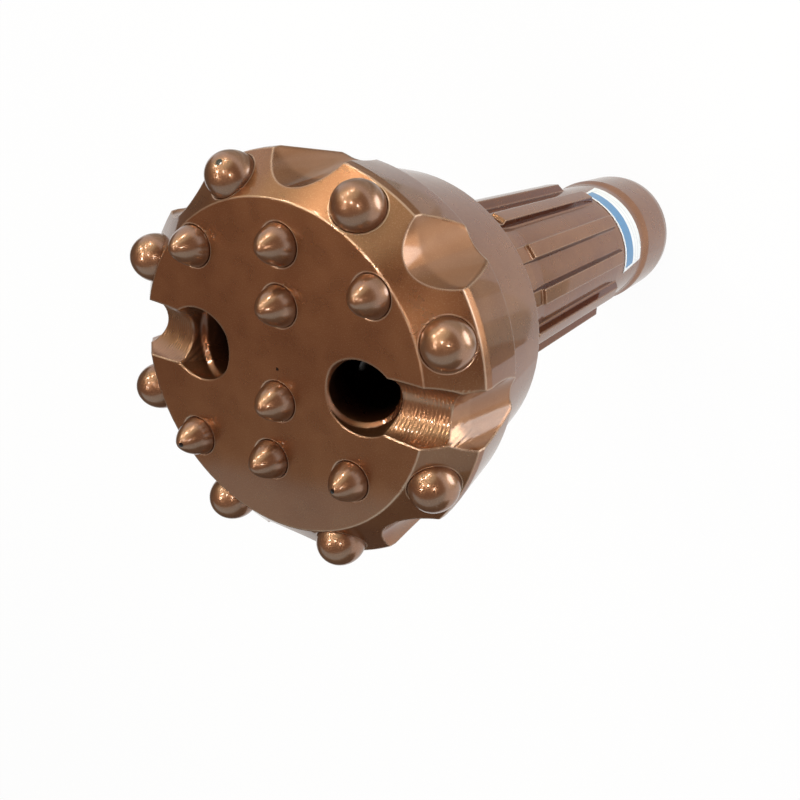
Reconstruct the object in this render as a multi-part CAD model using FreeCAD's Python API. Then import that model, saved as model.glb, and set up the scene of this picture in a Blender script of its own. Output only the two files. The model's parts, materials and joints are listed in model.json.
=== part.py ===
import FreeCAD, Part
import math
import os

os.makedirs("parts", exist_ok=True)

# All sizes are in millimetres. +Z runs along the bit from the strike face at
# Z = 0 to the cutting face at the top. The two flushing slots lie on the X axis.

# Overall sizes
gauge_diameter = 152.0          # hole that the gauge buttons cut
body_length = 350.0             # strike face to flat cutting face

# Guide end: neck, and the land that slides in the guide sleeve
neck_radius = 38.6
land_rise = 2.0                 # land above the neck
land_length = 47.0
land_shoulder_length = 3.0      # slow chamfer at the front of the land
land_shoulder_drop = 0.8
neck_fillet = 16.0              # hollow sweep from the neck up to the land
lead_length = 8.0               # slightly tapered lead-in of the land
lead_drop = 0.8                 # radial fall of the lead-in
strike_edge_round = 1.2

# Splines
spline_count = 12
spline_phase = 11.9             # degrees from X to the middle of the first spline
spline_rise = 4.8               # spline tops above the neck
spline_top_width = 7.3
spline_flare = 7.0              # degrees that a flank leans away from square
spline_rear = 107.0             # rear end of the full-height splines
spline_rear_chamfer = 7.4
spline_front_depth = 130.0      # cutting face to the front end of the full-height splines
spline_front_chamfer = 1.4
plain_drop = 1.5                # plain front part of the shank below the spline tops
groove_rise = 0.3               # groove floors above the neck
groove_ramp_depth = 140.0       # cutting face to where the groove floors start to rise
groove_ramp_angle = 3.5
groove_front_depth = 114.0      # cutting face to where the cutter lifts out
groove_cutter_radius = 32.0
groove_root_fillet = 1.2

# Head, outside to inside: all radii follow the gauge diameter
gauge_edge_inset = 0.8          # widest steel inside the gauge circle
gauge_edge_depth = 16.7
bevel_outer_inset = 1.2
bevel_angle = 42.0              # degrees below the flat face
face_inset = 16.1
head_rear_depth = 41.2          # cutting face to rear edge of the head
head_rear_inset = 4.1
collar_gap = 80.0               # cutting face to rear of the collar
collar_front_inset = 7.2        # the collar tapers to the rear
collar_rear_inset = 12.7
rim_round = 1.0
bevel_round = 0.8
head_rear_round = 1.2
collar_step_fillet = 1.6
collar_edge_round = 1.5
shoulder_fillet = 6.0           # shank into the rear face of the collar

# Flutes down the side of the head
gauge_button_count = 8
flute_radius = 17.0
corner_flute_inset = 11.0       # gauge circle to the flute's bottom line at the face
cross_flute_inset = 12.9
slot_flute_radius = 11.0
slot_flute_inset = 15.5
flute_runout_inset = 6.0        # bottom line of every flute at the rear edge of the head

# Flushing holes and the slots that lead out of them
slot_line_offset = 1.0          # both slots lie on one line, this far beside the axis
slot_radius = 10.7
slot_inner_depth = 5.4          # slot floor below the face at the hole
slot_fall = 13.0                # degrees that the slot floor falls outward
flush_offset = 35.3             # bit axis to the middle of the hole at the face
flush_hole_radius = 12.0
flush_hole_angle = 25.0         # degrees between hole and bit axis
pocket_radius = 13.4            # wider mouth of the hole
pocket_depth = 5.5
pocket_taper = 45.0

# Central air bore from the strike face
bore_radius = 14.0
bore_stop = 83.0                # cutting face to the end of the bore's wall
bore_point_angle = 118.0
bore_mouth_chamfer = 2.0

# Gauge buttons, spherical
gauge_button_radius = 9.0
gauge_button_seat = 19.0        # depth of the socket
gauge_dome_sink = 0.35          # middle of the dome below the bevel

# Front buttons, ballistic
front_button_radius = 7.3
front_button_seat = 15.0
front_button_height = 9.2
front_tip_radius = 3.8
front_flank_radius = 14.0
front_dome_lift = 0.4
button_base_chamfer = 1.2
socket_mouth_chamfer = 0.45

# Front buttons: ring radius and direction in degrees from X
front_button_places = [
    (52.0, 135.0),
    (45.2, 90.0),
    (24.4, 88.6),
    (52.0, 45.0),
    (10.6, -85.5),
    (51.3, -134.9),
    (34.3, -92.8),
    (45.1, -43.2),
]

# Sticker on the neck
label_thickness = 0.25
label_glue = 0.1                # film between the neck and the sheet
label_middle_z = 76.4
label_middle_angle = 39.0
label_width = 60.0              # along the circumference
label_height = 30.0             # along the axis
label_tilt = 6.0                # degrees, stuck on slightly askew

reach = 20.0                    # how far a large cutting tool starts outside the steel
overcut = 1.0                   # how far a small one runs past the surface

origin = FreeCAD.Vector(0, 0, 0)
z_axis = FreeCAD.Vector(0, 0, 1)

# Heights and radii that follow from the sizes above
face_z = body_length
gauge_radius = gauge_diameter / 2
gauge_edge_radius = gauge_radius - gauge_edge_inset
bevel_outer_radius = gauge_radius - bevel_outer_inset
face_radius = gauge_radius - face_inset
bevel_drop = (bevel_outer_radius - face_radius) * math.tan(math.radians(bevel_angle))
head_rear_radius = gauge_radius - head_rear_inset
head_rear_z = face_z - head_rear_depth
collar_front_radius = gauge_radius - collar_front_inset
collar_rear_radius = gauge_radius - collar_rear_inset
collar_z = face_z - collar_gap
land_radius = neck_radius + land_rise
spline_radius = neck_radius + spline_rise
plain_radius = spline_radius - plain_drop
groove_floor_radius = neck_radius + groove_rise
spline_front = face_z - spline_front_depth
groove_ramp = face_z - groove_ramp_depth
groove_front = face_z - groove_front_depth
groove_rear = spline_rear - spline_rear_chamfer - overcut
bore_depth = body_length - bore_stop


def point(r, z):
    """Point in the XZ half plane."""
    return FreeCAD.Vector(r, 0, z)


def polar(length, angle):
    """Vector in the XZ half plane, at an angle above the X axis."""
    return FreeCAD.Vector(length * math.cos(angle), 0, length * math.sin(angle))


def line(a, b):
    return Part.LineSegment(a, b).toShape()


def arc(a, b, c):
    return Part.Arc(a, b, c).toShape()


def turned(a, degrees):
    """Copy of a shape turned about the bit's axis."""
    copy = a.copy()
    copy.rotate(origin, z_axis, degrees)
    return copy


def moved(shape, placement):
    """Copy of a shape put in place without changing its geometry."""
    copy = shape.copy()
    copy.Placement = placement
    return copy


def revolved(edges):
    """Solid of revolution of a closed outline in the XZ plane."""
    return Part.Face(Part.Wire(edges)).revolve(origin, z_axis, 360)


def polyline(points):
    return [line(a, b) for a, b in zip(points, points[1:])]


def circle_edges(shape, radius, z):
    """Circular edges about the bit's axis at one radius and height."""
    found = []
    for edge in shape.Edges:
        curve = edge.Curve
        if not isinstance(curve, Part.Circle):
            continue
        if abs(curve.Radius - radius) < 1e-3 and abs(curve.Center.z - z) < 1e-3:
            found.append(edge)
    return found


def blank_outline():
    """Turned outline of the steel body, from the strike face up to the cutting face."""
    edge_radius = land_radius - land_shoulder_drop
    rise = edge_radius - neck_radius
    fillet_run = math.sqrt(2 * neck_fillet * rise - rise * rise)
    fillet_start = land_length + land_shoulder_length
    neck_front = fillet_start + fillet_run
    half = math.asin(fillet_run / neck_fillet) / 2
    fillet_mid = point(
        neck_radius + neck_fillet * (1 - math.cos(half)),
        neck_front - neck_fillet * math.sin(half),
    )
    lower = polyline([
        point(0, 0),
        point(land_radius - lead_drop, 0),
        point(land_radius, lead_length),
        point(land_radius, land_length),
        point(edge_radius, fillet_start),
    ])
    fillet = arc(point(edge_radius, fillet_start), fillet_mid, point(neck_radius, neck_front))
    upper = polyline([
        point(neck_radius, neck_front),
        point(neck_radius, spline_rear - spline_rear_chamfer),
        point(spline_radius, spline_rear),
        point(spline_radius, spline_front - spline_front_chamfer),
        point(plain_radius, spline_front),
        point(plain_radius, collar_z),
        point(collar_rear_radius, collar_z),
        point(collar_front_radius, head_rear_z),
        point(head_rear_radius, head_rear_z),
        point(gauge_edge_radius, face_z - gauge_edge_depth),
        point(bevel_outer_radius, face_z - bevel_drop),
        point(face_radius, face_z),
        point(0, face_z),
        point(0, 0),
    ])
    return lower + [fillet] + upper


def turned_blank():
    """Body as it leaves the lathe, with its rounded edges."""
    blank = revolved(blank_outline())
    rounds = [
        (strike_edge_round, land_radius - lead_drop, 0),
        (shoulder_fillet, plain_radius, collar_z),
        (collar_edge_round, collar_rear_radius, collar_z),
        (collar_step_fillet, collar_front_radius, head_rear_z),
        (head_rear_round, head_rear_radius, head_rear_z),
        (bevel_round, bevel_outer_radius, face_z - bevel_drop),
        (rim_round, face_radius, face_z),
    ]
    for size, radius, z in rounds:
        blank = blank.makeFillet(size, circle_edges(blank, radius, z))
    return blank


def groove_cutter():
    """Milling cut between two splines, straight with a curved lift-out at the front."""
    half_pitch = math.radians(180.0 / spline_count)
    lean = math.tan(math.radians(spline_flare))

    def flank(radius):
        offset = spline_top_width / 2 + (spline_radius - radius) * lean
        angle = half_pitch - math.asin(offset / radius)
        return FreeCAD.Vector(radius * math.cos(angle), radius * math.sin(angle), groove_rear)

    root = flank(groove_floor_radius)
    crest = flank(spline_radius + spline_rise)
    root_low = FreeCAD.Vector(root.x, -root.y, root.z)
    crest_low = FreeCAD.Vector(crest.x, -crest.y, crest.z)
    floor_mid = FreeCAD.Vector(groove_floor_radius, 0, groove_rear)
    edges = [
        arc(root_low, floor_mid, root),
        line(root, crest),
        line(crest, crest_low),
        line(crest_low, root_low),
    ]
    length = groove_front + groove_cutter_radius - groove_rear
    cutter = Part.Face(Part.Wire(edges)).extrude(FreeCAD.Vector(0, 0, length))
    roots = []
    for edge in cutter.Edges:
        middle = edge.CenterOfMass
        on_root = abs(math.hypot(middle.x, middle.y) - groove_floor_radius) < 0.01
        if on_root and abs(edge.Length - length) < 0.01:
            roots.append(edge)
    return cutter.makeFillet(groove_root_fillet, roots)


def groove_liftout():
    """Steel that stays under the cutter where it lifts out of the grooves."""
    ramp_rise = (groove_front - groove_ramp) * math.tan(math.radians(groove_ramp_angle))
    ramp_start = point(groove_floor_radius, groove_ramp)
    start = point(groove_floor_radius + ramp_rise, groove_front)
    centre_r = start.x + groove_cutter_radius
    half = math.radians(45.0)
    middle = point(
        centre_r - groove_cutter_radius * math.cos(half),
        groove_front + groove_cutter_radius * math.sin(half),
    )
    end = point(centre_r, groove_front + groove_cutter_radius)
    top_z = groove_front + groove_cutter_radius + reach
    edges = [arc(start, middle, end)]
    edges += polyline([
        end,
        point(centre_r, top_z),
        point(0, top_z),
        point(0, groove_ramp),
        ramp_start,
        start,
    ])
    return revolved(edges)


def spline_grooves():
    cutter = groove_cutter().cut(groove_liftout())
    pitch = 360.0 / spline_count
    return [turned(cutter, spline_phase + pitch * (i + 0.5)) for i in range(spline_count)]


def flute_cutter(radius, inset):
    """Round cut down the side of the head. It leans outward and runs out above the collar."""
    slope = math.atan((inset - flute_runout_inset) / head_rear_depth)
    down = FreeCAD.Vector(math.sin(slope), 0, -math.cos(slope))
    axis_point = point(gauge_radius - inset + radius / math.cos(slope), face_z)
    start = axis_point - down * reach
    length = reach + collar_gap / math.cos(slope)
    return Part.makeCylinder(radius, length, start, down)


def gauge_flutes():
    """Flutes between the gauge buttons. The two on the X axis end the flushing slots."""
    pitch = 360.0 / gauge_button_count
    corner = flute_cutter(flute_radius, corner_flute_inset)
    cross = flute_cutter(flute_radius, cross_flute_inset)
    at_slot = flute_cutter(slot_flute_radius, slot_flute_inset)
    kinds = [at_slot, corner, cross, corner]
    return [turned(kinds[i % len(kinds)], pitch * i) for i in range(gauge_button_count)]


def slot_cutter():
    """Slot on the +X side with a round floor that falls outward from the flushing hole."""
    fall = math.radians(slot_fall)
    along = FreeCAD.Vector(math.cos(fall), 0, -math.sin(fall))
    up = FreeCAD.Vector(math.sin(fall), 0, math.cos(fall))
    side = FreeCAD.Vector(0, 1, 0)
    centre = point(flush_offset, face_z - slot_inner_depth) + up * slot_radius
    top = centre + up * reach
    edges = [
        arc(centre - side * slot_radius, centre - up * slot_radius, centre + side * slot_radius),
        line(centre + side * slot_radius, top + side * slot_radius),
        line(top + side * slot_radius, top - side * slot_radius),
        line(top - side * slot_radius, centre - side * slot_radius),
    ]
    length = gauge_radius - flush_offset + reach
    return Part.Face(Part.Wire(edges)).extrude(along * length)


def flush_hole_cutter():
    """Slanted hole from the face to the central bore, with a wider mouth that tapers into it."""
    slant = math.radians(flush_hole_angle)
    down = FreeCAD.Vector(-math.sin(slant), 0, -math.cos(slant))
    mouth = point(flush_offset, face_z)
    top = mouth - down * reach
    hole = Part.makeCylinder(flush_hole_radius, flush_offset / math.sin(slant), mouth, down)
    pocket = Part.makeCylinder(pocket_radius, reach + pocket_depth, top, down)
    taper_length = (pocket_radius - flush_hole_radius) / math.tan(math.radians(pocket_taper))
    taper_start = mouth + down * pocket_depth
    taper = Part.makeCone(pocket_radius, flush_hole_radius, taper_length, taper_start, down)
    return pocket.fuse([taper, hole])


def flushing_cuts():
    """Slot and hole on each side of the axis, on one line beside it."""
    cut = slot_cutter().fuse(flush_hole_cutter())
    cuts = []
    for side in (0, 180):
        copy = turned(cut, side)
        copy.translate(FreeCAD.Vector(0, slot_line_offset, 0))
        cuts.append(copy)
    return cuts


def bore_cutter():
    """Central air bore with a drilled point and a chamfered mouth."""
    point_length = bore_radius / math.tan(math.radians(bore_point_angle / 2))
    return revolved(polyline([
        point(0, -overcut),
        point(bore_radius + bore_mouth_chamfer + overcut, -overcut),
        point(bore_radius, bore_mouth_chamfer),
        point(bore_radius, bore_depth),
        point(0, bore_depth + point_length),
        point(0, -overcut),
    ]))


def socket_cutter(radius, depth):
    """Blind socket for a button, mouth at the origin and opening to +Z."""
    return revolved(polyline([
        point(0, -depth),
        point(radius, -depth),
        point(radius, -socket_mouth_chamfer),
        point(radius + socket_mouth_chamfer + overcut, overcut),
        point(radius + socket_mouth_chamfer + overcut, reach),
        point(0, reach),
        point(0, -depth),
    ]))


def gauge_button():
    """Carbide button with a spherical end, standing on its socket's mouth."""
    r = gauge_button_radius
    centre = point(0, -gauge_dome_sink)
    start = centre + polar(r, 0)
    middle = centre + polar(r, math.pi / 4)
    top = centre + polar(r, math.pi / 2)
    base = -gauge_button_seat
    return revolved([
        line(point(0, base), point(r - button_base_chamfer, base)),
        line(point(r - button_base_chamfer, base), point(r, base + button_base_chamfer)),
        line(point(r, base + button_base_chamfer), start),
        arc(start, middle, top),
        line(top, point(0, base)),
    ])


def front_button():
    """Carbide button with a ballistic end: curved flanks that run into a small round tip."""
    r = front_button_radius
    tip = front_tip_radius
    flank = front_flank_radius
    start = point(r, front_dome_lift)
    tip_centre = point(0, front_button_height - tip)
    chord = tip_centre - start
    along = (flank ** 2 - (flank - tip) ** 2 + chord.Length ** 2) / (2 * chord.Length)
    across = math.sqrt(flank ** 2 - along ** 2)
    chord.normalize()
    flank_centre = start + chord * along + FreeCAD.Vector(-chord.z, 0, chord.x) * across

    start_angle = math.atan2(start.z - flank_centre.z, start.x - flank_centre.x)
    join_angle = math.atan2(tip_centre.z - flank_centre.z, tip_centre.x - flank_centre.x)
    flank_mid = flank_centre + polar(flank, (start_angle + join_angle) / 2)
    join = tip_centre + polar(tip, join_angle)
    tip_mid = tip_centre + polar(tip, (join_angle + math.pi / 2) / 2)
    top = point(0, front_button_height)
    base = -front_button_seat
    return revolved([
        line(point(0, base), point(r - button_base_chamfer, base)),
        line(point(r - button_base_chamfer, base), point(r, base + button_base_chamfer)),
        line(point(r, base + button_base_chamfer), start),
        arc(start, flank_mid, join),
        arc(join, tip_mid, top),
        line(top, point(0, base)),
    ])


def gauge_placements():
    """Seats on the bevel, square to it, halfway between the flutes."""
    lean = math.radians(bevel_angle)
    dome_radius = gauge_radius - gauge_button_radius
    seat_r = dome_radius + gauge_dome_sink * math.sin(lean)
    seat_z = face_z - (seat_r - face_radius) * math.tan(lean)
    tilt = FreeCAD.Rotation(FreeCAD.Vector(0, 1, 0), bevel_angle)
    seat = FreeCAD.Placement(point(seat_r, seat_z), tilt)
    pitch = 360.0 / gauge_button_count
    turns = [FreeCAD.Rotation(z_axis, pitch * (i + 0.5)) for i in range(gauge_button_count)]
    return [FreeCAD.Placement(origin, turn).multiply(seat) for turn in turns]


def front_placements():
    seats = []
    for radius, degrees in front_button_places:
        angle = math.radians(degrees)
        place = FreeCAD.Vector(radius * math.cos(angle), radius * math.sin(angle), face_z)
        seats.append(FreeCAD.Placement(place, FreeCAD.Rotation()))
    return seats


def bit_body():
    """The one-piece steel body: turned, then fluted, slotted, drilled and splined."""
    cuts = spline_grooves() + gauge_flutes() + flushing_cuts() + [bore_cutter()]
    gauge_socket = socket_cutter(gauge_button_radius, gauge_button_seat)
    front_socket = socket_cutter(front_button_radius, front_button_seat)
    cuts += [moved(gauge_socket, seat) for seat in gauge_placements()]
    cuts += [moved(front_socket, seat) for seat in front_placements()]
    return turned_blank().cut(cuts)


def label_sticker():
    """Thin sheet that follows the neck, a little askew."""
    half_angle = label_width / 2 / neck_radius
    chord = 2 * neck_radius * math.sin(half_angle)
    seat_radius = neck_radius + label_glue
    outer = Part.makeCylinder(seat_radius + label_thickness, body_length)
    inner = Part.makeCylinder(seat_radius, body_length)
    depth = neck_radius + reach
    sheet = Part.makeBox(depth, chord, label_height)
    sheet.translate(FreeCAD.Vector(0, -chord / 2, -label_height / 2))
    sheet.rotate(origin, FreeCAD.Vector(1, 0, 0), label_tilt)
    sheet.translate(FreeCAD.Vector(0, 0, label_middle_z))
    return turned(outer.cut(inner).common(sheet), label_middle_angle)


def write(name, shape):
    solid = shape.Solids[0] if len(shape.Solids) == 1 else shape
    solid.exportStep("parts/" + name + ".step")
    print(name, "solids", len(shape.Solids), "valid", shape.isValid(), "volume", round(shape.Volume, 1))


write("bit_body", bit_body())
for number, seat in enumerate(gauge_placements(), 1):
    write("gauge_button_" + str(number), moved(gauge_button(), seat))
for number, seat in enumerate(front_placements(), 1):
    write("front_button_" + str(number), moved(front_button(), seat))
write("label_sticker", label_sticker())
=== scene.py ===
import bpy
import json
import math
from mathutils import Matrix, Vector

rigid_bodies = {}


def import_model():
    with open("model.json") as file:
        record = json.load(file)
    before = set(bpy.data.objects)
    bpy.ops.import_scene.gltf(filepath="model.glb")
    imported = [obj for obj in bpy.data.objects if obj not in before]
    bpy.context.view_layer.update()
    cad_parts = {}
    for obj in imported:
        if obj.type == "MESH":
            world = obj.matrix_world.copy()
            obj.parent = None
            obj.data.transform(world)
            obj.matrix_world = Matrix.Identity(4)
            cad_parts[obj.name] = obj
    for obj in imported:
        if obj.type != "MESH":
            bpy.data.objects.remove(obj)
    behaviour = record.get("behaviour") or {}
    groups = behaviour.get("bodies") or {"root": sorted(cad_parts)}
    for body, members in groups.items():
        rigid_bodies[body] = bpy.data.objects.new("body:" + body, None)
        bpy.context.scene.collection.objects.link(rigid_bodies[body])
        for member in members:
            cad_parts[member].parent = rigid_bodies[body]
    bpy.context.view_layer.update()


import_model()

scene = bpy.context.scene
scene.view_settings.view_transform = "Standard"

# Camera, from the photograph: position in metres, right and up axes, focal length and centre in pixels
CAM_AT = Vector((0.17428, 0.11428, 0.54550))
CAM_RIGHT = Vector((0.9048, 0.1363, -0.4036)).normalized()
CAM_UP = Vector((-0.2601, 0.9271, -0.2701)).normalized()
CAM_FOCAL = 783.7
CAM_CENTRE = (550.3, 350.1)
IMAGE_SIZE = 800.0
SENSOR = 36.0

# Places on the bit, in metres, that the paint follows
FACE_Z = 0.350
HEAD_REAR_Z = 0.3088
GAUGE_EDGE_Z = 0.3333
HEAD_REAR_RADIUS = 0.0719
GAUGE_EDGE_RADIUS = 0.0752
SLOT_MIDDLE_Y = 0.001
SLOT_HALF_WIDTH = 0.0107
SLOT_START_X = 0.040
SPLINE_REAR_Z = 0.099
SPLINE_FRONT_Z = 0.220
CREST_RADIUS = 0.0434
HOLE_OFFSET = 0.0353
# Corners of the turned outline where thin painted highlight lines run: radius, height and width in
# metres
RIM_CORNERS = (
    (0.0599, 0.3500, 0.0005), (0.0747, 0.3366, 0.0006), (0.0716, 0.3091, 0.0009),
    (0.0630, 0.2703, 0.0010), (0.0395, 0.0003, 0.0010),
)
GAUGE_SEAT = (0.06723, 0.0, 0.34340)
GAUGE_LEAN = math.radians(42.0)
GAUGE_RING = 0.0095
FRONT_RING = 0.0078
FRONT_PLACES = (
    (0.0520, 135.0), (0.0452, 90.0), (0.0244, 88.6), (0.0520, 45.0),
    (0.0106, -85.5), (0.0513, -134.9), (0.0343, -92.8), (0.0451, -43.2),
)
HOLE_SLANT = math.radians(25.0)
HOLE_RADIUS = 0.0123
POCKET_RADIUS = 0.0138
BORE_RADIUS = 0.0143
BORE_TOP_Z = 0.310
SLOT_FLOOR_Z = 0.329
SPLINE_ROOT_RADIUS = 0.0378
SPLINE_RUNOUT_Z = 0.262
SHANK_REACH = 0.046
LAND_RADIUS = 0.0395

# Bronze paint, linear colours. Among them are the pale flake colour, which also paints light on the
# flutes and slots, a painted highlight colour for edges, a painted shade colour for corners, grooves
# and pockets, and near-black painted shade in the holes
PAINT_DARK = (0.195, 0.078, 0.036, 1.0)
PAINT_MID = (0.310, 0.145, 0.072, 1.0)
PAINT_BUTTON = (0.315, 0.168, 0.098, 1.0)
PAINT_FLAKE_AND_LIT = (0.460, 0.260, 0.155, 1.0)
PAINT_EDGE_HIGHLIGHT = (0.820, 0.620, 0.480, 1.0)
PAINTED_SHADE = (0.120, 0.036, 0.014, 1.0)
PAINT_GRAZING = (0.36, 0.27, 0.20, 1.0)
COAT_TINT = (1.0, 0.94, 0.87, 1.0)
BARE_HOLE_SHADE = (0.012, 0.010, 0.009, 1.0)
CHIP = (0.010, 0.008, 0.007, 1.0)

# Clear coat: weight, roughness, index of refraction, share of the bumps that it shows
STEEL_GLOSS = (0.75, 0.05, 1.50, 0.30)
BUTTON_GLOSS = (1.0, 0.15, 1.62, 0.0)
METAL_SHARE = 0.88

# Bumps, as heights in thousandths of a metre: orange peel, grain, cutter marks in the slots,
# drawn lines in the flutes and wrinkles in the sticker. The marks' spacing is in metres.
BUMP_UNIT = 0.001
PEEL = 0.008
STEEL_GRAIN = 0.0018
BUTTON_GRAIN = 0.0015
SLOT_MARKS = 0.060
SLOT_MARK_PITCH = 0.00135
FLUTE_LINES = 0.007
STICKER_WRINKLE = 0.06

# How far the painted corner shade and the painted edge highlights reach, in metres, and the samples
# that each takes
STEEL_SHADE_REACH = 0.007
BUTTON_SHADE_REACH = 0.004
STEEL_EDGE = 0.0012
BUTTON_EDGE = 0.0004
SHADE_SAMPLES = 6

# Sticker
STICKER_ANGLE = math.radians(39.0)
STICKER_Z = 0.0764
STICKER_RADIUS = 0.0389
STICKER_TILT = math.radians(6.0)
STICKER_WIDTH = 0.060
STICKER_HEIGHT = 0.030
STICKER_WHITE = (0.80, 0.82, 0.84, 1.0)
STICKER_BLUE = (0.012, 0.185, 0.420, 1.0)
STICKER_GREY = (0.42, 0.46, 0.50, 1.0)

# Bare spots in the paint: place and radius in metres
BODY_CHIPS = (((0.0004, 0.0015, 0.350), 0.0006),)
BUTTON_CHIPS = (
    ((-0.0246, 0.0674, 0.3502), 0.0012),
    ((-0.0353, -0.0362, 0.3591), 0.0010),
    ((0.0325, -0.0305, 0.3592), 0.0009),
)

# Scuff on the guide land: its middle and its slope, in metres of length per radian
SCUFF_ANGLE = math.radians(87.5)
SCUFF_Z = 0.0324
SCUFF_SLOPE = -0.0152

# The room and the cards that the paint mirrors: linear colours, directions, and the pale horizon
ROOM_DARK = (0.215, 0.125, 0.090, 1.0)
ROOM_TABLE = (0.52, 0.64, 0.68, 1.0)
ROOM_GOLD = (0.92, 0.96, 0.74, 1.0)
ROOM_PALE = (0.96, 0.96, 0.96, 1.0)
CARD_SHADE = (0.42, 0.40, 0.35, 1.0)
CARD_MID = (0.66, 0.70, 0.64, 1.0)
CARD_LIGHT = (0.96, 0.96, 0.90, 1.0)
FLAG_DARK = (0.08, 0.06, 0.05, 1.0)
FLAG_BROWN = (0.20, 0.16, 0.13, 1.0)
TABLE_NORMAL = Vector((0.167, -0.842, -0.513))
GOLD_TOWARD = Vector((-0.38, 0.80, 0.46))
HORIZON_LOW = 0.08
HORIZON_HIGH = 0.22

# Small ceiling lights: where each one's point shows on a dome, right and up in shares of its radius,
# seen along DOME_BACK. The lights hang in the directions that those points mirror.
SMALL_LIGHTS = (
    (-0.500, 0.360), (-0.330, 0.460), (-0.190, 0.570), (-0.450, 0.170), (-0.480, 0.000),
    (-0.240, 0.170), (-0.020, 0.060),
)
DOME_BACK = Vector((0.579, 0.205, 0.789)).normalized()
DOME_RIGHT = Vector((0.791, 0.091, -0.605)).normalized()
DOME_UP = Vector((-0.196, 0.974, -0.109)).normalized()
HEAD_MIDDLE = Vector((0.0, 0.0, 0.340))
SMALL_LIGHT_DISTANCE = 1.6
SMALL_LIGHT_SIZE = 0.075
SMALL_LIGHT_RADIANCE = 190.0
WARM_LIGHT = (1.0, 0.94, 0.82)

# Larger lamps: place, size in metres and radiance
SOFT_SIDE = (Vector((0.40, 0.22, 0.04)), 0.36, 5.2)
COOL_LIGHT = (0.90, 0.97, 1.0)
FILL_ABOVE = (Vector((0.5, -0.3, 2.2)), 1.6, 3.4)
PLAIN_LIGHT = (1.0, 1.0, 1.0)

# Floor, and the cards that stand round the bit
FLOOR_HALF = 8.0
FLOOR_DROP = 0.0003
FLOOR_TONES = ((0.80, 0.80, 0.80, 1.0), (0.84, 0.84, 0.84, 1.0))
FLOOR_WHITE = (1.0, 1.0, 1.0, 1.0)
FLOOR_WHITE_SHARE = 0.95
TABLE_CARD_Z = 0.002
TABLE_CARD = ((0.13, -0.06), (1.6, -0.06), (1.6, 1.6), (-0.7, 1.6), (-0.7, 0.175), (0.13, 0.175))
BOARD_WIDTH = 0.23
LEFT_FLAG = ((-1.1, -1.2, 0.0), (-1.1, 0.5, 0.0), (-1.1, 0.5, 0.85), (-1.1, -1.2, 0.85))
FRONT_FLAG = ((-1.1, -0.95, 0.0), (1.3, -0.95, 0.0), (1.3, -0.95, 0.75), (-1.1, -0.95, 0.75))


class Graph:
    """Short ways to add and join shader nodes."""

    def __init__(self, tree):
        self.tree = tree
        tree.nodes.clear()

    def put(self, socket, value):
        if isinstance(value, bpy.types.NodeSocket):
            self.tree.links.new(value, socket)
        else:
            socket.default_value = value

    def add(self, kind, inputs=None, **settings):
        node = self.tree.nodes.new(kind)
        for name, value in settings.items():
            setattr(node, name, value)
        for name, value in (inputs or {}).items():
            self.put(node.inputs[name], value)
        return node

    def math(self, operation, a, b=0.0, c=0.0):
        node = self.add("ShaderNodeMath", operation=operation)
        for socket, value in zip(node.inputs, (a, b, c)):
            self.put(socket, value)
        return node.outputs[0]

    def vector(self, operation, a, b=(0.0, 0.0, 0.0)):
        node = self.add("ShaderNodeVectorMath", operation=operation)
        self.put(node.inputs[0], a)
        self.put(node.inputs[1], b)
        return node.outputs["Value" if operation in ("DOT_PRODUCT", "LENGTH", "DISTANCE") else "Vector"]

    def step(self, value, low, high, to_low=0.0, to_high=1.0):
        """A smooth ramp from to_low at low to to_high at high."""
        node = self.add("ShaderNodeMapRange", interpolation_type="SMOOTHSTEP")
        numbers = (value, low, high, to_low, to_high)
        for name, number in zip(("Value", "From Min", "From Max", "To Min", "To Max"), numbers):
            self.put(node.inputs[name], number)
        return node.outputs["Result"]

    def fade(self, value, low, high, start=1.0):
        """The same ramp, from start down to nothing."""
        return self.step(value, low, high, start, 0.0)

    def noise(self, vector, scale, detail=2.0, roughness=0.5):
        inputs = {"Vector": vector, "Scale": scale, "Detail": detail, "Roughness": roughness}
        return self.add("ShaderNodeTexNoise", inputs).outputs["Fac"]

    def mix(self, factor, a, b):
        """Colour a where the factor is 0, b where it is 1."""
        node = self.add("ShaderNodeMix", data_type="RGBA")
        self.put(node.inputs[0], factor)
        self.put(node.inputs[6], a)
        self.put(node.inputs[7], b)
        return node.outputs[2]

    def product(self, *values):
        result = values[0]
        for value in values[1:]:
            result = self.math("MULTIPLY", result, value)
        return result

    def total(self, *values):
        result = values[0]
        for value in values[1:]:
            result = self.math("ADD", result, value)
        return result


class Place:
    """Where a point of the bit lies, and how far from the bit's axis."""

    def __init__(self, graph):
        self.point = graph.add("ShaderNodeTexCoord").outputs["Object"]
        split = graph.add("ShaderNodeSeparateXYZ", {"Vector": self.point}).outputs
        self.x, self.y, self.z = split[0], split[1], split[2]
        self.flat = graph.add("ShaderNodeCombineXYZ", {"X": self.x, "Y": self.y}).outputs[0]
        self.radius = graph.vector("LENGTH", self.flat)
        self.angle = graph.math("ARCTAN2", self.y, self.x)


def camera():
    """The photograph's view: its place, direction, focal length and off-centre frame."""
    data = bpy.data.cameras.new("camera")
    data.sensor_width = SENSOR
    data.sensor_fit = "HORIZONTAL"
    data.lens = CAM_FOCAL / IMAGE_SIZE * SENSOR
    data.shift_x = (IMAGE_SIZE / 2 - CAM_CENTRE[0]) / IMAGE_SIZE
    data.shift_y = (CAM_CENTRE[1] - IMAGE_SIZE / 2) / IMAGE_SIZE
    data.clip_start = 0.01
    data.dof.use_dof = False
    back = CAM_RIGHT.cross(CAM_UP).normalized()
    turned = Matrix((CAM_RIGHT, back.cross(CAM_RIGHT), back)).transposed().to_4x4()
    turned.translation = CAM_AT
    view = bpy.data.objects.new("camera", data)
    view.matrix_world = turned
    scene.collection.objects.link(view)
    scene.camera = view


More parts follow.
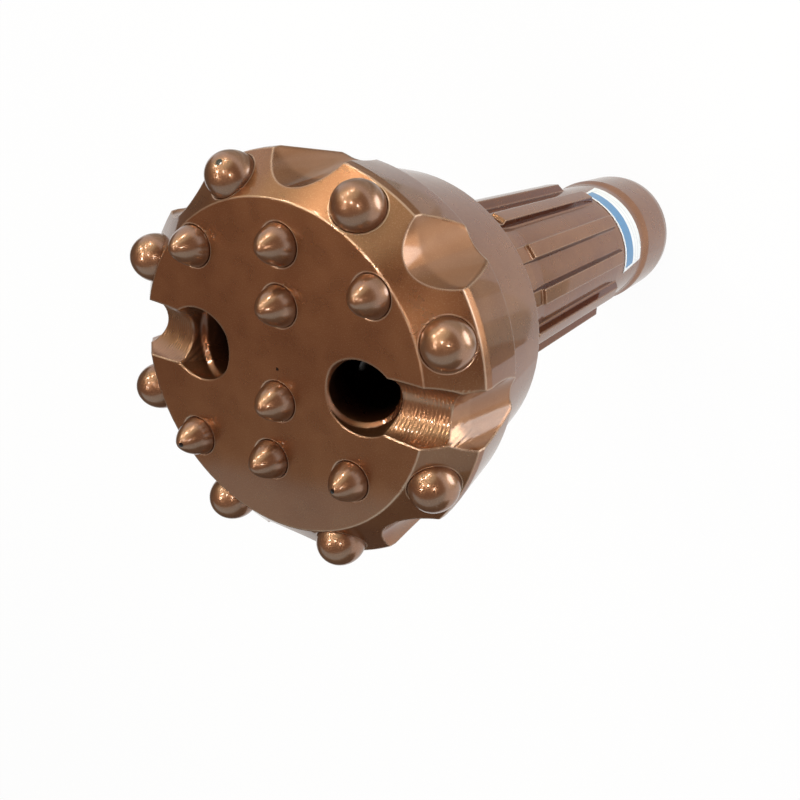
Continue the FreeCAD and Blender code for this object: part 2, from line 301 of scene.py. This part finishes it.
def new_material(name):
    """An empty node material, its graph and its output."""
    material = bpy.data.materials.new(name)
    material.use_nodes = True
    graph = Graph(material.node_tree)
    output = graph.add("ShaderNodeOutputMaterial")
    return material, graph, output


def flakes_and_tone(graph, place, middle):
    """Paint colour with slow cloudy changes and fine metal flakes."""
    cloud = graph.step(graph.noise(place, 45.0, 3.0, 0.55), 0.30, 0.70, 0.6, 1.0)
    tone = graph.mix(cloud, PAINT_DARK, middle)
    flake = graph.step(graph.noise(place, 2600.0, 1.0, 0.6), 0.50, 0.78)
    return graph.mix(graph.product(flake, 0.55), tone, PAINT_FLAKE_AND_LIT)


def spot_mask(graph, point, spots):
    """One where a bare spot is, with a ragged edge."""
    ragged = graph.product(graph.noise(point, 1400.0, 2.0), 0.0014)
    result = 0.0
    for centre, radius in spots:
        away = graph.math("ADD", graph.vector("DISTANCE", point, centre), ragged)
        result = graph.math("MAXIMUM", result, graph.fade(away, radius + 0.0006, radius + 0.0008))
    return result


def scuff_mask(graph, at):
    """A short dark scuff across the top of the guide land."""
    angle = graph.math("SUBTRACT", at.angle, SCUFF_ANGLE)
    line = graph.math("MULTIPLY_ADD", angle, SCUFF_SLOPE, SCUFF_Z)
    off = graph.math("ABSOLUTE", graph.math("SUBTRACT", at.z, line))
    return graph.product(
        graph.fade(off, 0.0002, 0.0006, 0.8),
        graph.fade(graph.math("ABSOLUTE", angle), 0.11, 0.16),
        graph.step(at.radius, LAND_RADIUS, LAND_RADIUS + 0.0005),
    )


def shade(graph, reach, **settings):
    """One in the open, less in corners and close to other surfaces."""
    return graph.add(
        "ShaderNodeAmbientOcclusion", {"Distance": reach}, samples=SHADE_SAMPLES, **settings
    ).outputs["AO"]


def edge_mask(graph, radius, low, high):
    """One along convex and concave edges, from how much a rounded normal leaves the flat one."""
    rounded = graph.add("ShaderNodeBevel", {"Radius": radius}, samples=SHADE_SAMPLES).outputs[0]
    flat = graph.add("ShaderNodeNewGeometry").outputs["Normal"]
    return graph.step(graph.vector("DOT_PRODUCT", rounded, flat), low, high), rounded


def line_mask(graph, away, middle):
    """A thin line where a distance has a given value."""
    off = graph.math("ABSOLUTE", graph.math("SUBTRACT", away, middle))
    return graph.fade(off, 0.00010, 0.00032)


def front_ring_highlights(graph, at):
    """A painted highlight line along the paint's lip round each socket of the flat face."""
    result = 0.0
    for radius, degrees in FRONT_PLACES:
        angle = math.radians(degrees)
        middle = (radius * math.cos(angle), radius * math.sin(angle), 0.0)
        ring = line_mask(graph, graph.vector("DISTANCE", at.flat, middle), FRONT_RING)
        result = graph.math("MAXIMUM", result, ring)
    return graph.product(result, graph.step(at.z, FACE_Z - 0.0006, FACE_Z - 0.0004))


def gauge_ring_highlights(graph, at):
    """The same painted highlight line on the bevel, with the eight sockets folded onto one."""
    eighth = math.radians(45.0)
    turns = graph.math("FRACT", graph.math("DIVIDE", at.angle, eighth))
    angle = graph.product(graph.math("SUBTRACT", turns, 0.5), eighth)
    folded_x = graph.product(at.radius, graph.math("COSINE", angle))
    folded_y = graph.product(at.radius, graph.math("SINE", angle))
    folded = graph.add("ShaderNodeCombineXYZ", {"X": folded_x, "Y": folded_y, "Z": at.z}).outputs[0]
    axis = (math.sin(GAUGE_LEAN), 0.0, math.cos(GAUGE_LEAN))
    from_seat = graph.vector("SUBTRACT", folded, GAUGE_SEAT)
    away = graph.vector("LENGTH", graph.vector("CROSS_PRODUCT", from_seat, axis))
    depth = graph.math("ABSOLUTE", graph.vector("DOT_PRODUCT", from_seat, axis))
    return graph.product(line_mask(graph, away, GAUGE_RING), graph.fade(depth, 0.0005, 0.0008))


def rim_highlights(graph, at):
    """Thin painted highlight lines where the turned surfaces of the body meet."""
    place = graph.add("ShaderNodeCombineXYZ", {"X": at.radius, "Y": at.z}).outputs[0]
    result = 0.0
    for corner_radius, corner_z, width in RIM_CORNERS:
        away = graph.vector("DISTANCE", place, (corner_radius, corner_z, 0.0))
        result = graph.math("MAXIMUM", result, graph.fade(away, width * 0.3, width))
    return result


def slot_mask(graph, at):
    """One on the milled floor and walls of the two flushing slots."""
    off = graph.math("ABSOLUTE", graph.math("SUBTRACT", at.y, SLOT_MIDDLE_Y))
    return graph.product(
        graph.fade(off, SLOT_HALF_WIDTH - 0.0006, SLOT_HALF_WIDTH - 0.0002),
        graph.step(graph.math("ABSOLUTE", at.x), SLOT_START_X, SLOT_START_X + 0.002),
        graph.step(at.z, SLOT_FLOOR_Z, SLOT_FLOOR_Z + 0.002),
        graph.fade(at.z, FACE_Z - 0.0008, FACE_Z - 0.0004),
    )


def flute_mask(graph, at):
    """One where the side of the head is hollowed in from its cone."""
    slope = (GAUGE_EDGE_RADIUS - HEAD_REAR_RADIUS) / (GAUGE_EDGE_Z - HEAD_REAR_Z)
    up = graph.math("SUBTRACT", at.z, HEAD_REAR_Z)
    inward = graph.math("SUBTRACT", graph.math("MULTIPLY_ADD", up, slope, HEAD_REAR_RADIUS), at.radius)
    return graph.product(
        graph.step(inward, 0.0005, 0.0012),
        graph.fade(inward, 0.0150, 0.0180),
        graph.step(at.z, HEAD_REAR_Z + 0.0005, HEAD_REAR_Z + 0.0015),
        graph.fade(at.z, GAUGE_EDGE_Z, GAUGE_EDGE_Z + 0.004),
    )


def spline_shade_masks(graph, at):
    """The side walls of the splines, and the floors between them, which the paint darkens as painted
    shade.
    """
    normal = graph.add("ShaderNodeNewGeometry").outputs["Normal"]
    outward = graph.vector("NORMALIZE", at.flat)
    facing = graph.math("ABSOLUTE", graph.vector("DOT_PRODUCT", normal, outward))
    walls = graph.product(
        graph.fade(facing, 0.40, 0.70),
        graph.step(at.radius, SPLINE_ROOT_RADIUS, SPLINE_ROOT_RADIUS + 0.0004),
        graph.step(at.z, SPLINE_REAR_Z, SPLINE_REAR_Z + 0.002),
        graph.fade(at.z, SPLINE_RUNOUT_Z, SPLINE_RUNOUT_Z + 0.002),
    )
    floors = graph.product(
        graph.fade(at.radius, CREST_RADIUS - 0.0011, CREST_RADIUS - 0.0007),
        graph.step(at.z, SPLINE_REAR_Z + 0.001, SPLINE_REAR_Z + 0.004),
        graph.fade(at.z, SPLINE_FRONT_Z - 0.001, SPLINE_FRONT_Z),
    )
    return walls, floors


def hole_shade_masks(graph, at):
    """The bare inside of the holes and the bore, painted near black as shade, and the pockets at the
    slanted holes' mouths, darkened as painted shade.
    """
    down = graph.math("SUBTRACT", FACE_Z, at.z)
    middle = graph.math("MULTIPLY_ADD", down, -math.tan(HOLE_SLANT), HOLE_OFFSET)
    off = graph.math("ABSOLUTE", graph.math("SUBTRACT", graph.math("ABSOLUTE", at.x), middle))
    across = {"X": graph.product(off, math.cos(HOLE_SLANT)), "Y": at.y}
    away = graph.vector("LENGTH", graph.add("ShaderNodeCombineXYZ", across).outputs[0])
    hole = graph.product(
        graph.fade(away, HOLE_RADIUS, HOLE_RADIUS + 0.0004),
        graph.fade(at.z, FACE_Z - 0.020, FACE_Z - 0.010),
    )
    pocket_shade = graph.product(
        graph.fade(away, POCKET_RADIUS, POCKET_RADIUS + 0.0006),
        graph.fade(at.z, FACE_Z - 0.011, FACE_Z - 0.003),
    )
    bore = graph.product(
        graph.fade(at.radius, BORE_RADIUS, BORE_RADIUS + 0.0003),
        graph.fade(at.z, BORE_TOP_Z, BORE_TOP_Z + 0.010),
    )
    return graph.math("MAXIMUM", hole, bore), pocket_shade


def painted_highlights(graph, at, edge, sheltered):
    """Painted highlights along open edges, along the paint's lip round each socket and along the rims
    of the turned surfaces.
    """
    strength = graph.step(at.radius, SHANK_REACH, SHANK_REACH + 0.002, 0.25, 0.55)
    edge_highlight = graph.product(edge, graph.step(sheltered, 0.55, 0.85), strength)
    lip_highlights = graph.math("MAXIMUM", front_ring_highlights(graph, at), gauge_ring_highlights(graph, at))
    result = graph.math("MAXIMUM", edge_highlight, graph.product(lip_highlights, 0.75))
    return graph.math("MAXIMUM", result, graph.product(rim_highlights(graph, at), 0.45))


def steel_colour(graph, at, slot, flute, edge):
    """Paint darkened by painted shade in corners, grooves and pockets and near black in the holes, and
    lightened by painted light on the milled flutes and slots and by painted highlights along edges.
    """
    sheltered = shade(graph, STEEL_SHADE_REACH, only_local=True)
    walls, floors = spline_shade_masks(graph, at)
    bare, pocket_shade = hole_shade_masks(graph, at)
    colour = flakes_and_tone(graph, at.point, PAINT_MID)
    # Painted shade: darker in corners and close to other surfaces
    colour = graph.mix(graph.fade(sheltered, 0.25, 0.85, 0.75), colour, PAINTED_SHADE)
    # Painted shade on the floors and side walls of the spline grooves
    colour = graph.mix(graph.product(floors, 0.15), colour, PAINTED_SHADE)
    colour = graph.mix(graph.product(walls, 0.65), colour, PAINTED_SHADE)
    # Painted light: the flutes and slots lighter, as if lit
    colour = graph.mix(graph.product(flute, 0.45), colour, PAINT_FLAKE_AND_LIT)
    colour = graph.mix(graph.product(slot, 0.50), colour, PAINT_FLAKE_AND_LIT)
    # Painted highlights along edges, socket lips and rims
    colour = graph.mix(painted_highlights(graph, at, edge, sheltered), colour, PAINT_EDGE_HIGHLIGHT)
    # Painted shade in the pockets, and near-black painted shade on the bare inside of the holes and the
    # bore
    colour = graph.mix(graph.product(pocket_shade, 0.85), colour, PAINTED_SHADE)
    colour = graph.mix(bare, colour, BARE_HOLE_SHADE)
    chips = graph.math("MAXIMUM", spot_mask(graph, at.point, BODY_CHIPS), scuff_mask(graph, at))
    return graph.mix(chips, colour, CHIP)


def steel_height(graph, at, slot, flute):
    """Orange peel and grain all over, cutter marks in the slots, drawn lines in the flutes."""
    peel = graph.product(graph.noise(at.point, 200.0, 0.0), PEEL)
    grain = graph.product(graph.noise(at.point, 1500.0, 1.0, 0.5), STEEL_GRAIN)
    marks = graph.math("SINE", graph.product(at.x, 2.0 * math.pi / SLOT_MARK_PITCH))
    broken = graph.step(graph.noise(at.point, 420.0, 2.0), 0.35, 0.65, 0.25, 1.0)
    marks = graph.product(marks, slot, broken, SLOT_MARKS)
    long_way = graph.vector("MULTIPLY", at.point, (1.0, 1.0, 0.035))
    lines = graph.product(graph.noise(long_way, 1300.0, 2.0, 0.7), flute, FLUTE_LINES)
    return graph.total(peel, grain, marks, lines)


def bumped(graph, height, normal, strength=1.0):
    """A normal that leans with the height of the paint's fine forms."""
    bump = {"Strength": strength, "Distance": BUMP_UNIT, "Height": height, "Normal": normal}
    return graph.add("ShaderNodeBump", bump).outputs[0]


def paint_shader(graph, output, colour, roughness, height, rounded, gloss):
    """Metal flakes under a clear coat, which flows over the bumps."""
    weight, coat_roughness, index, bump_share = gloss
    shader = graph.add(
        "ShaderNodeBsdfPrincipled",
        {
            "Base Color": colour,
            "Roughness": roughness,
            "Metallic": METAL_SHARE,
            "Specular Tint": PAINT_GRAZING,
            "Normal": bumped(graph, height, rounded),
            "Coat Weight": weight,
            "Coat Roughness": coat_roughness,
            "Coat IOR": index,
            "Coat Tint": COAT_TINT,
            "Coat Normal": bumped(graph, height, rounded, bump_share),
        },
    )
    graph.tree.links.new(shader.outputs[0], output.inputs["Surface"])


def steel_paint():
    """Bronze paint over the machined and forged steel of the body."""
    material, graph, output = new_material("bronze_paint_on_steel")
    at = Place(graph)
    slot = slot_mask(graph, at)
    flute = flute_mask(graph, at)
    edge, rounded = edge_mask(graph, STEEL_EDGE, 0.990, 0.945)
    colour = steel_colour(graph, at, slot, flute, edge)
    height = steel_height(graph, at, slot, flute)
    rough = graph.step(graph.noise(at.point, 120.0, 3.0), 0.3, 0.7, 0.26, 0.34)
    rough = graph.math("MULTIPLY_ADD", flute, 0.34, rough)
    paint_shader(graph, output, colour, rough, height, rounded, STEEL_GLOSS)
    return material


def button_paint():
    """The same paint over the smooth carbide buttons."""
    material, graph, output = new_material("bronze_paint_on_carbide")
    place = graph.add("ShaderNodeTexCoord").outputs["Object"]
    sheltered = shade(graph, BUTTON_SHADE_REACH)
    edge, _ = edge_mask(graph, BUTTON_EDGE, 0.985, 0.90)
    colour = flakes_and_tone(graph, place, PAINT_BUTTON)
    # Painted shade: darker in corners and close to other surfaces
    colour = graph.mix(graph.fade(sheltered, 0.20, 0.80, 0.80), colour, PAINTED_SHADE)
    # Painted highlight along the buttons' edges
    colour = graph.mix(graph.product(edge, 0.40), colour, PAINT_EDGE_HIGHLIGHT)
    colour = graph.mix(spot_mask(graph, place, BUTTON_CHIPS), colour, CHIP)
    peel = graph.product(graph.noise(place, 220.0, 1.0), PEEL)
    grain = graph.product(graph.noise(place, 1500.0, 1.0), BUTTON_GRAIN)
    rough = graph.step(graph.noise(place, 150.0, 2.0), 0.3, 0.7, 0.31, 0.36)
    smooth = graph.add("ShaderNodeNewGeometry").outputs["Normal"]
    paint_shader(graph, output, colour, rough, graph.total(peel, grain), smooth, BUTTON_GLOSS)
    return material


def sticker_frame(graph, at):
    """Distances along and across the tilted sticker, from its middle."""
    around = graph.product(graph.math("SUBTRACT", at.angle, STICKER_ANGLE), STICKER_RADIUS)
    along = graph.math("SUBTRACT", at.z, STICKER_Z)
    c, s = math.cos(STICKER_TILT), math.sin(STICKER_TILT)
    across = graph.total(graph.product(around, c), graph.product(along, s))
    up = graph.math("SUBTRACT", graph.product(along, c), graph.product(around, s))
    return across, up


def sticker_print(graph, across, up):
    """A blue band over the upper half, two grey rules below it and a white margin."""
    margin = 0.0022
    inside = graph.fade(
        graph.math("ABSOLUTE", across), STICKER_WIDTH / 2 - margin, STICKER_WIDTH / 2 - margin + 0.0003
    )
    band = graph.product(
        inside,
        graph.step(up, 0.0002, 0.0005),
        graph.fade(up, STICKER_HEIGHT / 2 - margin, STICKER_HEIGHT / 2 - margin + 0.0003),
    )
    colour = graph.mix(band, STICKER_WHITE, STICKER_BLUE)
    for middle in (-0.0045, -0.0090):
        off = graph.math("ABSOLUTE", graph.math("SUBTRACT", up, middle))
        rule = graph.product(graph.fade(off, 0.0003, 0.0005), inside)
        colour = graph.mix(graph.product(rule, 0.55), colour, STICKER_GREY)
    return colour


def sticker_paper():
    """White semi-gloss sticker with its plain print."""
    material, graph, output = new_material("sticker_paper")
    at = Place(graph)
    across, up = sticker_frame(graph, at)
    fibre = graph.noise(at.point, 900.0, 3.0)
    colour = sticker_print(graph, across, up)
    colour = graph.mix(graph.step(fibre, 0.35, 0.75, 0.0, 0.10), colour, STICKER_GREY)
    wrinkle = graph.product(graph.noise(at.point, 140.0), STICKER_WRINKLE)
    bump = graph.add("ShaderNodeBump", {"Strength": 1.0, "Distance": BUMP_UNIT, "Height": wrinkle})
    shader = graph.add(
        "ShaderNodeBsdfPrincipled",
        {
            "Base Color": colour,
            "Roughness": graph.step(fibre, 0.3, 0.7, 0.28, 0.40),
            "Normal": bump.outputs[0],
            "Coat Weight": 0.25,
            "Coat Roughness": 0.12,
        },
    )
    graph.tree.links.new(shader.outputs[0], output.inputs["Surface"])
    return material


def dress_nodes():
    """Give each piece the material that its slot names."""
    looks = {
        "painted_steel": steel_paint(),
        "painted_carbide": button_paint(),
        "sticker": sticker_paper(),
    }
    for piece in list(scene.objects):
        if piece.type != "MESH":
            continue
        for slot in piece.material_slots:
            if slot.material and slot.material.name in looks:
                slot.material = looks[slot.material.name]


def floor():
    """Pale floor that keeps the shadow, white to the camera and in reflections, clear from below."""
    mesh = bpy.data.meshes.new("floor")
    signs = ((-1, -1), (1, -1), (1, 1), (-1, 1))
    corners = [(a * FLOOR_HALF, b * FLOOR_HALF, -FLOOR_DROP) for a, b in signs]
    mesh.from_pydata(corners, [], [(0, 1, 2, 3)])
    plane = bpy.data.objects.new("floor", mesh)
    scene.collection.objects.link(plane)
    material, graph, output = new_material("pale_floor")
    path = graph.add("ShaderNodeLightPath").outputs
    seen = graph.math("MAXIMUM", path["Is Camera Ray"], path["Is Glossy Ray"])
    seen = graph.math("MAXIMUM", seen, path["Is Transmission Ray"])
    place = graph.add("ShaderNodeTexCoord").outputs["Object"]
    cloud = graph.step(graph.noise(place, 3.0, 3.0), 0.3, 0.7)
    tone = graph.mix(cloud, *FLOOR_TONES)
    matt = graph.add("ShaderNodeBsdfDiffuse", {"Color": tone, "Roughness": 0.0})
    white = graph.add("ShaderNodeEmission", {"Color": FLOOR_WHITE, "Strength": 1.0})
    pale = graph.add("ShaderNodeMixShader", {"Fac": graph.product(seen, FLOOR_WHITE_SHARE)})
    graph.tree.links.new(matt.outputs[0], pale.inputs[1])
    graph.tree.links.new(white.outputs[0], pale.inputs[2])
    clear = graph.add("ShaderNodeBsdfTransparent")
    below = graph.add("ShaderNodeNewGeometry").outputs["Backfacing"]
    both = graph.add("ShaderNodeMixShader", {"Fac": below})
    graph.tree.links.new(pale.outputs[0], both.inputs[1])
    graph.tree.links.new(clear.outputs[0], both.inputs[2])
    graph.tree.links.new(both.outputs[0], output.inputs["Surface"])
    mesh.materials.append(material)


def surroundings():
    """A dim room above, paler on the table's side, golden behind and pale at the horizon.

    It is what the paint mirrors. To the camera the whole room is pale, as in the photograph.
    """
    world = bpy.data.worlds.new("room")
    world.use_nodes = True
    graph = Graph(world.node_tree)
    output = graph.add("ShaderNodeOutputWorld")
    toward = graph.add("ShaderNodeTexCoord").outputs["Generated"]
    height = graph.add("ShaderNodeSeparateXYZ", {"Vector": toward}).outputs[2]
    wave = graph.product(graph.noise(toward, 6.0, 2.0), 0.10)
    table = graph.math("ADD", graph.vector("DOT_PRODUCT", toward, tuple(TABLE_NORMAL)), wave)
    colour = graph.mix(graph.step(table, 0.045, 0.075), ROOM_DARK, ROOM_TABLE)
    gold = graph.vector("DOT_PRODUCT", toward, tuple(GOLD_TOWARD.normalized()))
    colour = graph.mix(graph.step(gold, 0.72, 0.88), colour, ROOM_GOLD)
    colour = graph.mix(graph.fade(height, HORIZON_LOW, HORIZON_HIGH), colour, ROOM_PALE)
    seen = graph.add("ShaderNodeLightPath").outputs["Is Camera Ray"]
    colour = graph.mix(seen, colour, ROOM_PALE)
    background = graph.add("ShaderNodeBackground", {"Color": colour, "Strength": 1.0})
    graph.tree.links.new(background.outputs[0], output.inputs["Surface"])
    scene.world = world


def card(name, corners, tone_of):
    """A studio card that only reflections show."""
    mesh = bpy.data.meshes.new(name)
    mesh.from_pydata(corners, [], [range(len(corners))])
    sheet = bpy.data.objects.new(name, mesh)
    scene.collection.objects.link(sheet)
    material, graph, output = new_material(name)
    glow = graph.add("ShaderNodeEmission", {"Color": tone_of(graph), "Strength": 1.0})
    graph.tree.links.new(glow.outputs[0], output.inputs["Surface"])
    mesh.materials.append(material)
    sheet.visible_camera = False
    sheet.visible_diffuse = False
    sheet.visible_shadow = False


def table_tone(graph):
    """Grey-brown table top with lighter and darker boards."""
    place = graph.add("ShaderNodeTexCoord").outputs["Object"]
    split = graph.add("ShaderNodeSeparateXYZ", {"Vector": place}).outputs
    slanted = graph.total(graph.product(split[0], 0.62), graph.product(split[1], -0.78))
    board = graph.math("SINE", graph.product(slanted, 2.0 * math.pi / BOARD_WIDTH))
    tone = graph.mix(graph.step(board, -0.25, -0.15), CARD_SHADE, CARD_MID)
    tone = graph.mix(graph.step(board, 0.80, 0.84), tone, CARD_LIGHT)
    cloud = graph.step(graph.noise(place, 7.0, 3.0), 0.35, 0.65, 0.0, 0.35)
    return graph.mix(cloud, tone, CARD_SHADE)


def dark_tone(graph):
    """Dim brown wall with soft changes."""
    place = graph.add("ShaderNodeTexCoord").outputs["Object"]
    return graph.mix(graph.noise(place, 2.0, 2.0), FLAG_DARK, FLAG_BROWN)


def cards():
    """A table top beside the shank, and two dark walls behind and to the left."""
    table = [(x, y, TABLE_CARD_Z) for x, y in TABLE_CARD]
    card("table_card", table, table_tone)
    card("left_flag", LEFT_FLAG, dark_tone)
    card("front_flag", FRONT_FLAG, dark_tone)


def area_lamp(name, at, size, radiance, colour, glossy=True):
    """A disc lamp that faces the head, with a given radiance, out of the camera's sight."""
    data = bpy.data.lights.new(name, "AREA")
    data.shape = "DISK"
    data.size = size
    data.energy = radiance * math.pi * math.pi * (size / 2) ** 2
    data.color = colour
    lamp = bpy.data.objects.new(name, data)
    lamp.location = at
    lamp.rotation_euler = (HEAD_MIDDLE - at).to_track_quat("-Z", "Y").to_euler()
    lamp.visible_camera = False
    lamp.visible_glossy = glossy
    scene.collection.objects.link(lamp)


def small_lights():
    """Ceiling lights that show as small warm points on the domes."""
    for number, (right, up) in enumerate(SMALL_LIGHTS, 1):
        out = math.sqrt(1.0 - right * right - up * up)
        toward = DOME_RIGHT * (2 * out * right) + DOME_UP * (2 * out * up)
        toward = (toward + DOME_BACK * (2 * out * out - 1)).normalized()
        at = HEAD_MIDDLE + toward * SMALL_LIGHT_DISTANCE
        area_lamp("ceiling_light_%d" % number, at, SMALL_LIGHT_SIZE, SMALL_LIGHT_RADIANCE, WARM_LIGHT)


def lamps():
    """The small lights, a soft one low at the side for the flutes, and a plain fill from above."""
    small_lights()
    area_lamp("soft_side", *SOFT_SIDE, COOL_LIGHT)
    area_lamp("fill_above", *FILL_ABOVE, PLAIN_LIGHT, glossy=False)


camera()
floor()
dress_nodes()
surroundings()
cards()
lamps()
